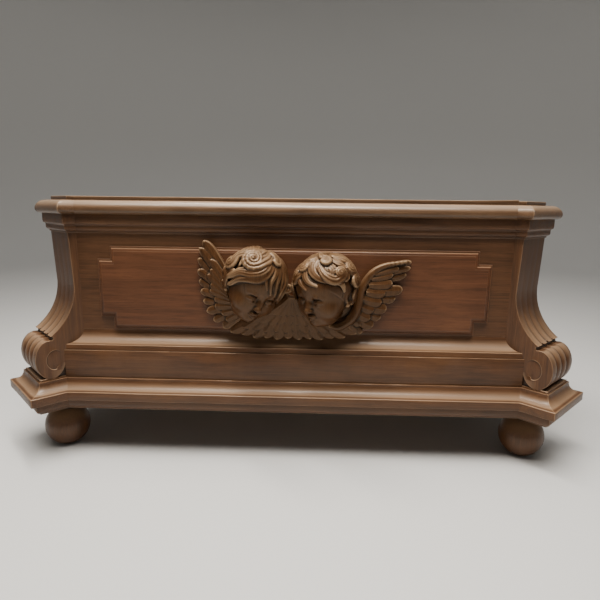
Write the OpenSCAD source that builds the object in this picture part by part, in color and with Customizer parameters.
// Low carved timber font: a long moulded trough on four bun feet, with turned corner
// blocks, scrolled corner consoles, a pair of winged cherub heads on the front panel,
// and a loose metal liner that lifts out by two drop handles.
// Origin: centre of the floor footprint. +X to the right, +Y to the back, +Z up. Millimetres.

/* [Plinth] */
// Length of the plinth between the end fascias
plinth_l = 1292; // [1240:2:1400]
// Depth of the plinth between the front and back fascias
plinth_d = 500; // [470:2:600]
// Width of the corner blocks, which stand turned to the diagonal
block_w = 184; // [176:2:190]
// How far the face of a corner block sits inside the corner of the fascias
block_set = 16; // [10:1:22]
// Height of the top of the plinth above the floor
plinth_top = 190; // [186:1:196]
// Height of the lower edge of the fascia
fascia_low = 144; // [142:1:146]
// Height of the upper edge of the fascia
fascia_high = 163; // [160:1:168]
// How far the top edge of the plinth sits behind its fascia
plinth_set = 26; // [22:1:28]

/* [Body] */
// How far the face of the body sits behind the fascia of the plinth
body_set = 64; // [60:1:68]
// Thickness of the body boards
board_t = 22; // [18:1:24]
// Height of the body boards' top edge
board_top = 569; // [560:1:575]
// Height of the band at the foot of the body
band_top = 256; // [245:1:262]
// Height where the cove of the skirt dies into the body
cove_top = 300; // [298:1:306]

/* [Rim] */
// Thickness of the rim boards
rim_t = 31; // [26:1:34]
// How far the rim stands proud of the body
rim_proud = 26; // [24:1:28]
// Height of the raised strip on the rim
strip_h = 9; // [6:1:12]
// Width of the raised strip
strip_w = 14; // [10:1:18]

/* [Panels] */
// Height of the lower edge of the raised panels
panel_low = 302; // [301:1:310]
// Height of the upper edge of the raised panels
panel_high = 497; // [485:1:500]
// Space between a panel's side edge and the end of the body
panel_side = 46; // [30:1:60]
// Size of the square notches in the panel's corners
notch = 30; // [20:1:36]

/* [Consoles] */
// Width of a corner console
console_w = 120; // [110:2:124]
// How far the head of a console sits inside the corner of the fascias
console_set = 131; // [128:1:134]
// Half the height of the scroll at the foot of a console
scroll_r = 46; // [40:1:46]

/* [Feet] */
// Radius of a bun foot
foot_r = 52; // [46:1:54]
// Height of a bun foot
foot_h = 96; // [88:1:98]

/* [Liner] */
// Depth of the liner below its flange
liner_h = 230; // [150:5:260]
// Thickness of the liner's metal
sheet_t = 2; // [1.5:0.5:3]
// Radius of the drop handles' rod
rod_r = 4; // [3:0.5:4]
// Play between a handle's pin and its lug
pin_play = 0.06; // [0.02:0.01:0.1]

/* [Carving] */
// Radius of a cherub's skull
skull_r = 61; // [54:1:62]
// Height of the centre of the heads
head_z = 416; // [410:1:424]
// Distance between the two heads
head_gap = 158; // [156:1:164]

/* [Hidden] */
$fn = 64;

walnut = [0.30, 0.20, 0.14];
walnut_red = [0.36, 0.22, 0.15];
walnut_pale = [0.45, 0.34, 0.25];
pine = [0.72, 0.58, 0.40];
zinc = [0.55, 0.57, 0.58];
brass = [0.66, 0.52, 0.28];
steel = [0.45, 0.45, 0.47];

half_l = plinth_l / 2;
half_d = plinth_d / 2;
root2 = sqrt(2);
far = 200;

// Plan of the plinth mouldings and of the rim mouldings at each corner. Every depth is
// measured inward from the fascias. A block's plan is [width at depth 0, set of its face].
plinth_plan = [block_w, block_set];
rim_plan = [console_w + 2 * body_set, console_set - body_set];

base_in = 150;
under_set = 12;
under_low = 116;
under_in = 120;
body_in = body_set + board_t;
console_back = 182;
post_in = 213;
rim_in = 106;
rim_low = board_top;
rim_top = rim_low + rim_t;
rim_face = body_set - rim_proud;
strip_face = rim_face + 30;
strip_in = strip_face + strip_w;
cornice_low = 526;
cornice_proud = 14;
panel_t = 12;
panel_face = -half_d + body_set - panel_t;

rest_top = 560;
flange_d = 108;
flange_cut = 200;
liner_d = 122;
liner_cut = 216;
lug_w = 8;
handle_half = 46;
handle_drop = 45;
pivot_z = 540;
pivot_x = half_l - liner_d - sheet_t - 12;

foot_at = 115;
ball_z = 50;
tenon_r = 13;
tenon_l = 46;
tenon_play = 0.1;
ease = 1;

// Points along an arc of a circle, from angle a0 to angle a1
function arc(cx, cy, r, a0, a1, n = 8) =
    [for (i = [0:n]) let (a = a0 + (a1 - a0) * i / n) [cx + r * cos(a), cy + r * sin(a)]];

// Where the mitre between a straight run and a corner block lies, in the corner's own
// frame, for one depth of a plan
function mitre(plan, d) = [-plan[0] / 2 - (root2 - 1) * d, plan[0] / 2 - d];

// Outline of a moulded corner block back to depth d
function block_outline(plan, d) = let (a = mitre(plan, 0), b = mitre(plan, d)) [
    [a[0], -a[1]], [far, -a[1]], [far, a[1]], [a[0], a[1]], [b[0], b[1]], [b[0], -b[1]]
];

// A rectangle drawn d inside the fascias, with its corners cut across at distance c
function cut_corners(d, c) = let (x = half_l - d, y = half_d - d, k = c * root2 - 2 * d) [
    [x - k, -y], [x, -y + k], [x, y - k], [x - k, y],
    [-x + k, y], [-x, y - k], [-x, -y + k], [-x + k, -y]
];

// Profiles, as [depth, height]
plinth_profile = concat(
    [[base_in, fascia_low], [ease, fascia_low], [0, fascia_low + ease], [0, fascia_high - ease],
     [ease, fascia_high]],
    arc(2, plinth_top - 1, 24, -90, 0),
    [[plinth_set, plinth_top], [base_in, plinth_top]]
);
under_profile = concat(
    [[under_in, under_low], [under_set + 10, under_low], [under_set + 10, under_low + 2]],
    arc(under_set + 14, under_low + 16, 14, -110, -180),
    [[under_set, fascia_low], [under_in, fascia_low]]
);
band_set = 30;
cove_r = 31;
skirt_profile = concat(
    [[body_set, plinth_top], [band_set, plinth_top], [band_set, band_top - ease],
     [band_set + ease, band_top], [band_set + 4, band_top], [band_set + 4, cove_top - cove_r - 1]],
    arc(body_set - cove_r, cove_top, cove_r, -85, 0),
    [[body_set, cove_top]]
);
cornice_profile = concat(
    [[body_set, cornice_low], [body_set - 3, cornice_low], [body_set - 3, cornice_low + 4]],
    arc(body_set - 3, cornice_low + 10, 6, -90, -180, 5),
    [[body_set - 9, cornice_low + 14]],
    arc(body_set - cornice_proud, cornice_low + 16, 5, 0, 80, 5),
    [[body_set - cornice_proud, cornice_low + 26], [body_set - cornice_proud, board_top],
     [body_set, board_top]]
);
nose_r = 21;
nose_under = 10;
rim_profile = concat(
    [[rim_in, rim_low]],
    arc(rim_face + nose_under, rim_low + nose_under, nose_under, -90, -180, 5),
    arc(rim_face + nose_r, rim_top - nose_r, nose_r, 180, 90),
    [[rim_in - ease, rim_top], [rim_in, rim_top - ease]]
);
strip_profile = [
    [strip_face, rim_top], [strip_face, rim_top + strip_h - 2],
    [strip_face + 2, rim_top + strip_h], [strip_in, rim_top + strip_h], [strip_in, rim_top]
];

// The four corners: name ending, left or right, front or back
CORNERS = [["fl", -1, -1], ["fr", 1, -1], ["bl", -1, 1], ["br", 1, 1]];

module flipped(on, axis) {
    if (on) mirror(axis) children();
    else children();
}

// Puts its children at a corner: their +X points outward along the diagonal
module at_corner(c) {
    flipped(c[1] < 0, [1, 0, 0]) flipped(c[2] < 0, [0, 1, 0])
        translate([half_l, half_d, 0]) rotate(45) children();
}

module at_corners() {
    for (c = CORNERS) at_corner(c) children();
}

// A profile drawn as [depth, height], run along X behind the front fascia
module run_x(profile, half) {
    translate([-half_l, -half, 0]) rotate([90, 0, 90]) linear_extrude(plinth_l) polygon(profile);
}

// A straight moulding on one side, mitred at 45 degrees to its neighbours
module run(side, profile) {
    ends = side == "left" || side == "right";
    turn = side == "front" ? 0 : side == "right" ? 90 : side == "back" ? 180 : 270;
    long = ends ? half_d : half_l;
    wide = ends ? half_l : half_d;
    rotate(turn) intersection() {
        run_x(profile, wide);
        linear_extrude(rim_top + far)
            polygon([[-long, -wide], [long, -wide], [long - far, far - wide], [far - long, far - wide]]);
    }
}

// The vertical prism of a moulded corner block
module block_prism(plan, d) {
    linear_extrude(rim_top + far) polygon(block_outline(plan, d));
}

// A corner block with its profile on its face and both sides, cut to an outline
module moulded_block(plan, profile, outline) {
    width = plan[0];
    intersection() {
        linear_extrude(rim_top + far) polygon(outline);
        translate([-plan[1], width, 0]) rotate([90, 0, 0]) mirror([1, 0, 0])
            linear_extrude(2 * width) polygon(slab(profile));
        intersection_for (s = [0, 1]) flipped(s == 1, [0, 1, 0])
            translate([-2 * width, width / 2, 0]) rotate([90, 0, 90]) mirror([1, 0, 0])
                linear_extrude(3 * width) polygon(slab(profile));
    }
}

// A profile carried on inward past the middle of its block
function slab(profile) = let (m = max([for (p = profile) p[0]]))
    [for (p = profile) p[0] > m - ease / 2 ? [p[0] + far, p[1]] : p];

// The space a console's shaft takes between the boards
module console_prism(front = far) {
    translate([-console_back, -console_w / 2, 0])
        cube([console_back + front, console_w, rim_low]);
}

module body_board(side, colour) {
    profile = [[body_set, plinth_top], [body_set, board_top], [body_in, board_top],
               [body_in, plinth_top]];
    color(colour) difference() {
        run(side, profile);
        at_corners() console_prism();
    }
}

module board_front() { body_board("front", walnut); }
module board_back() { body_board("back", walnut); }
module board_left() { body_board("left", walnut); }
module board_right() { body_board("right", walnut); }

// A raised panel of three layers with square notches in its corners
module raised_panel(half) {
    edge = half - console_w / root2 - body_set - panel_side;
    mid = (panel_low + panel_high) / 2;
    tall = (panel_high - panel_low) / 2;
    layers = [[0, 0, 4], [5, 4, 5], [10, 9, panel_t - 9]];
    for (l = layers) {
        x = edge - l[0];
        z = tall - l[0];
        translate([0, -l[1], mid]) rotate([90, 0, 0]) linear_extrude(l[2]) polygon([
            [-x + notch, -z], [x - notch, -z], [x - notch, -z + notch], [x, -z + notch],
            [x, z - notch], [x - notch, z - notch], [x - notch, z], [-x + notch, z],
            [-x + notch, z - notch], [-x, z - notch], [-x, -z + notch], [-x + notch, -z + notch]
        ]);
    }
}

// A panel on the body's face, on a side whose fascia stands `wide` from the centre
module panel_on(angle, half, wide) {
    color(walnut_red) rotate(angle) translate([0, body_set - wide, 0]) raised_panel(half);
}

module panel_front() { panel_on(0, half_l, half_d); }
module panel_back() { panel_on(180, half_l, half_d); }
module panel_right() { panel_on(90, half_d, half_l); }
module panel_left() { panel_on(-90, half_d, half_l); }

module skirt(side) {
    color(walnut) difference() {
        run(side, skirt_profile);
        at_corners() console_prism();
    }
}

module skirt_front() { skirt("front"); }
module skirt_back() { skirt("back"); }
module skirt_left() { skirt("left"); }
module skirt_right() { skirt("right"); }

// Wood screws that hold the floor board down on the plinth
screw_in = 120;
screw_places = [
    for (x = [-390, -130, 130, 390], s = [-1, 1]) [x, s * (half_d - screw_in)],
    for (s = [-1, 1]) [s * (half_l - screw_in), 0]
];
floor_t = 18;
screw_l = 42;

module screw_shape(play) {
    translate([0, 0, plinth_top + floor_t - screw_l - play])
        cylinder(r = 2.4 + play, h = screw_l + play - 3);
    translate([0, 0, plinth_top + floor_t - 3]) cylinder(r1 = 2.4 + play, r2 = 5 + play, h = 3);
}

module screw_holes() {
    for (p = screw_places) translate([p[0], p[1], 0]) screw_shape(0.1);
}

module screws() {
    color(steel) for (p = screw_places) translate([p[0], p[1], 0]) screw_shape(0);
}

module plinth_run(side) {
    color(walnut) difference() {
        run(side, plinth_profile);
        at_corners() block_prism(plinth_plan, block_w / 2);
        screw_holes();
    }
}

module base_front() { plinth_run("front"); }
module base_back() { plinth_run("back"); }
module base_left() { plinth_run("left"); }
module base_right() { plinth_run("right"); }

module foot_hole() {
    translate([-foot_at, 0, under_low - 1])
        cylinder(r = tenon_r + tenon_play, h = tenon_l + 4);
}

module base_block(c) {
    color(walnut) difference() {
        at_corner(c) moulded_block(plinth_plan, plinth_profile, block_outline(plinth_plan, block_w / 2));
        at_corner(c) foot_hole();
    }
}

module base_block_fl() { base_block(CORNERS[0]); }
module base_block_fr() { base_block(CORNERS[1]); }
module base_block_bl() { base_block(CORNERS[2]); }
module base_block_br() { base_block(CORNERS[3]); }

// The lower frame's corner block is longer, to take the foot's tenon
under_neck = 50;
under_outline = let (a = mitre(plinth_plan, 0), b = mitre(plinth_plan, under_neck),
                     back = -under_in * root2 - b[1]) [
    [a[0], -a[1]], [far, -a[1]], [far, a[1]], a, b, [back, b[1]], [back, -b[1]], [b[0], -b[1]]
];

module under_prism() { linear_extrude(fascia_low) polygon(under_outline); }

module under_frame() {
    color(walnut) for (side = ["front", "right", "back", "left"]) difference() {
        run(side, under_profile);
        at_corners() under_prism();
    }
}

module under_blocks() {
    color(walnut) at_corners() difference() {
        moulded_block(plinth_plan, under_profile, under_outline);
        foot_hole();
    }
}

module floor_board() {
    color(pine) difference() {
        translate([0, 0, plinth_top]) linear_extrude(floor_t)
            polygon(cut_corners(body_in + 1, post_in + 1));
        screw_holes();
    }
}

// Posts glued into the corners behind the consoles
module corner_posts() {
    near = console_back - body_in * root2;
    deep = post_in - body_in * root2;
    color(pine) at_corners() translate([0, 0, plinth_top]) linear_extrude(rest_top - 1 - plinth_top)
        polygon([[-console_back, -near], [-console_back, near], [-post_in, deep], [-post_in, -deep]]);
}

module cornice(side) {
    color(walnut) difference() {
        run(side, cornice_profile);
        at_corners() block_prism(rim_plan, body_set);
    }
}

module cornice_front() { cornice("front"); }
module cornice_back() { cornice("back"); }
module cornice_left() { cornice("left"); }
module cornice_right() { cornice("right"); }

module cornice_corners() {
    color(walnut) at_corners() difference() {
        moulded_block(rim_plan, cornice_profile, block_outline(rim_plan, body_set));
        translate([-console_back, -console_w / 2, 0])
            cube([console_back - console_set, console_w, rim_top]);
    }
}

module rim(side) {
    color(walnut_pale) difference() {
        run(side, rim_profile);
        at_corners() block_prism(rim_plan, rim_in);
    }
}

module rim_front() { rim("front"); }
module rim_back() { rim("back"); }
module rim_left() { rim("left"); }
module rim_right() { rim("right"); }

module rim_corner(c) {
    color(walnut_pale) at_corner(c) moulded_block(rim_plan, rim_profile, block_outline(rim_plan, rim_in));
}

module rim_corner_fl() { rim_corner(CORNERS[0]); }
module rim_corner_fr() { rim_corner(CORNERS[1]); }
module rim_corner_bl() { rim_corner(CORNERS[2]); }
module rim_corner_br() { rim_corner(CORNERS[3]); }

module strip(side) {
    color(walnut_pale) difference() {
        run(side, strip_profile);
        at_corners() block_prism(rim_plan, strip_in);
    }
}

module strip_front() { strip("front"); }
module strip_back() { strip("back"); }
module strip_ends() {
    strip("left");
    strip("right");
}

module strip_corners() {
    inner = rim_plan[0] / 2 - strip_in;
    color(walnut_pale) at_corners() difference() {
        moulded_block(rim_plan, strip_profile, block_outline(rim_plan, strip_in));
        translate([-far - rim_plan[1] - strip_in, -inner, 0]) cube([far, 2 * inner, rim_top + far]);
    }
}

// A console: a shaft whose face sweeps outward to a sharp lip above an oval scroll, which
// stands on a thin slab
slab_x = -46;
slab_top = plinth_top + 4;
scroll_x = -72;
scroll_z = plinth_top + 2 + scroll_r;
scroll_w = 33;
lip_angle = 236.4;
waist_x = -135;
waist_z = 405;
sweep_r = 134.5;

module console(c) {
    side = concat(
        [[-console_back, rim_low], [-console_back, plinth_top], [slab_x, plinth_top],
         [slab_x, slab_top]],
        [for (a = [-70:10:90]) [scroll_x + scroll_w * cos(a), scroll_z + scroll_r * sin(a)]],
        arc(waist_x + sweep_r, waist_z, sweep_r, lip_angle, 180),
        [[-console_set, 520], [-console_set, rim_low]]
    );
    color(walnut) at_corner(c) translate([0, console_w / 2, 0]) rotate([90, 0, 0])
        linear_extrude(console_w) polygon(side);
}

module console_fl() { console(CORNERS[0]); }
module console_fr() { console(CORNERS[1]); }
module console_bl() { console(CORNERS[2]); }
module console_br() { console(CORNERS[3]); }

// A bun foot: a ball with a flat base, a neck and a tenon
module foot(c) {
    neck = 4;
    color(walnut) at_corner(c) translate([-foot_at, 0, 0]) {
        rotate_extrude() intersection() {
            translate([0, ball_z]) circle(r = foot_r);
            square([foot_r, foot_h]);
        }
        translate([0, 0, foot_h - neck]) cylinder(r = 30, h = under_low - foot_h + neck);
        translate([0, 0, under_low - 1]) cylinder(r = tenon_r, h = tenon_l);
    }
}

module foot_fl() { foot(CORNERS[0]); }
module foot_fr() { foot(CORNERS[1]); }
module foot_bl() { foot(CORNERS[2]); }
module foot_br() { foot(CORNERS[3]); }

// Everything in front of the front panel's face
module before_panel() {
    translate([-far * 2, panel_face - far, 0]) cube([far * 4, far, rim_top]);
}

// A head as plain rounds: skull, hair and chin. s is -1 for the left head, 1 for the right.
// The chin's round follows the skull in a child's usual proportions
chin_drop = 0.7 * skull_r;
chin_r = 0.55 * skull_r;

module head_form(s) {
    head_y = panel_face - 40;
    turn = -s;
    translate([s * head_gap / 2, head_y, head_z]) {
        sphere(r = skull_r);
        translate([0, 22, 14]) sphere(r = skull_r + 8);
        translate([turn * 10, -8, -chin_drop]) sphere(r = chin_r);
    }
}

module cherub_left() { color(walnut_pale) intersection() { before_panel(); head_form(-1); } }
module cherub_right() { color(walnut_pale) intersection() { before_panel(); head_form(1); } }

module wing(outline, thick) {
    color(walnut_pale) difference() {
        translate([0, panel_face, 0]) rotate([90, 0, 0]) linear_extrude(thick) polygon(outline);
        head_form(-1);
        head_form(1);
    }
}

wing_left_outline = [
    [-100, 322], [-100, 420], [-160, 430], [-176, 476], [-205, 516], [-216, 470],
    [-210, 420], [-198, 380], [-184, 350], [-150, 322]
];
wing_right_outline = [
    [100, 322], [110, 400], [145, 420], [182, 457], [238, 476], [264, 470],
    [252, 438], [238, 406], [208, 372], [188, 336], [168, 310], [140, 322]
];

module wing_left() { wing(wing_left_outline, 34); }
module wing_right() { wing(wing_right_outline, 30); }

// Short feathers that hang in a scalloped row below both heads
module feather_collar() {
    color(walnut_pale) difference() {
        translate([0, panel_face, 0]) rotate([90, 0, 0]) linear_extrude(46) intersection() {
            union() {
                for (i = [-3:3]) translate([i * 36, 316 + 1.6 * i * i]) circle(r = 26);
                translate([-98, 310]) square([196, 60]);
            }
            translate([-148, 280]) square([287, 90]);
        }
        head_form(-1);
        head_form(1);
        wing_space();
    }
}

module wing_space() {
    translate([0, panel_face, 0]) rotate([90, 0, 0]) linear_extrude(34) {
        polygon(wing_left_outline);
        polygon(wing_right_outline);
    }
}

// Battens on the inner faces of the boards, which carry the liner's flange
rest_w = 32;
rest_h = 18;

module liner_rests() {
    color(pine) for (s = [-1, 1]) {
        translate([-425, s > 0 ? half_d - body_in - rest_w : body_in - half_d, rest_top - rest_h])
            cube([850, rest_w, rest_h]);
        translate([s > 0 ? half_l - body_in - rest_w : body_in - half_l, -32, rest_top - rest_h])
            cube([rest_w, 64, rest_h]);
    }
}

// The loose liner: a folded sheet tray with a flange round its mouth
module liner() {
    floor_z = rest_top - liner_h;
    color(zinc) {
        difference() {
            translate([0, 0, floor_z]) linear_extrude(liner_h) polygon(cut_corners(liner_d, liner_cut));
            translate([0, 0, floor_z + sheet_t]) linear_extrude(liner_h)
                polygon(cut_corners(liner_d + sheet_t, liner_cut + sheet_t));
        }
        difference() {
            translate([0, 0, rest_top]) linear_extrude(sheet_t) polygon(cut_corners(flange_d, flange_cut));
            translate([0, 0, rest_top - 1]) linear_extrude(sheet_t + 2)
                polygon(cut_corners(liner_d + sheet_t, liner_cut + sheet_t));
        }
    }
}

// Lugs soldered inside the liner's ends, bored for the handles' pins
module handle_lugs() {
    wall_x = half_l - liner_d - sheet_t;
    lug_r = 8;
    color(brass) for (sx = [-1, 1], sy = [-1, 1]) flipped(sx < 0, [1, 0, 0]) flipped(sy < 0, [0, 1, 0])
        difference() {
            union() {
                translate([pivot_x, handle_half + 6, pivot_z]) rotate([-90, 0, 0])
                    cylinder(r = lug_r, h = lug_w);
                translate([pivot_x, handle_half + 6, pivot_z - lug_r])
                    cube([wall_x - pivot_x, lug_w, 2 * lug_r]);
            }
            translate([pivot_x, handle_half, pivot_z]) rotate([-90, 0, 0])
                cylinder(r = rod_r + pin_play, h = lug_w + 12);
        }
}

// A drop handle: one bent rod whose ends turn outward as pins
module handle(s) {
    low = pivot_z - handle_drop;
    color(brass) for (sy = [-1, 1]) {
        translate([s * pivot_x, sy * handle_half, low]) {
            cylinder(r = rod_r, h = handle_drop);
            sphere(r = rod_r);
        }
        translate([s * pivot_x, sy * handle_half, pivot_z]) {
            sphere(r = rod_r);
            rotate([-sy * 90, 0, 0]) cylinder(r = rod_r, h = lug_w + 6);
        }
    }
    color(brass) translate([s * pivot_x, -handle_half, low]) rotate([-90, 0, 0])
        cylinder(r = rod_r, h = 2 * handle_half);
}

module handle_left() { handle(-1); }
module handle_right() { handle(1); }

board_front();
board_back();
board_left();
board_right();
panel_front();
panel_back();
panel_left();
panel_right();
skirt_front();
skirt_back();
skirt_left();
skirt_right();
base_front();
base_back();
base_left();
base_right();
base_block_fl();
base_block_fr();
base_block_bl();
base_block_br();
under_frame();
under_blocks();
floor_board();
corner_posts();
cornice_front();
cornice_back();
cornice_left();
cornice_right();
cornice_corners();
rim_front();
rim_back();
rim_left();
rim_right();
rim_corner_fl();
rim_corner_fr();
rim_corner_bl();
rim_corner_br();
strip_front();
strip_back();
strip_ends();
strip_corners();
console_fl();
console_fr();
console_bl();
console_br();
foot_fl();
foot_fr();
foot_bl();
foot_br();
cherub_left();
cherub_right();
wing_left();
wing_right();
feather_collar();
liner_rests();
screws();
liner();
handle_lugs();
handle_left();
handle_right();
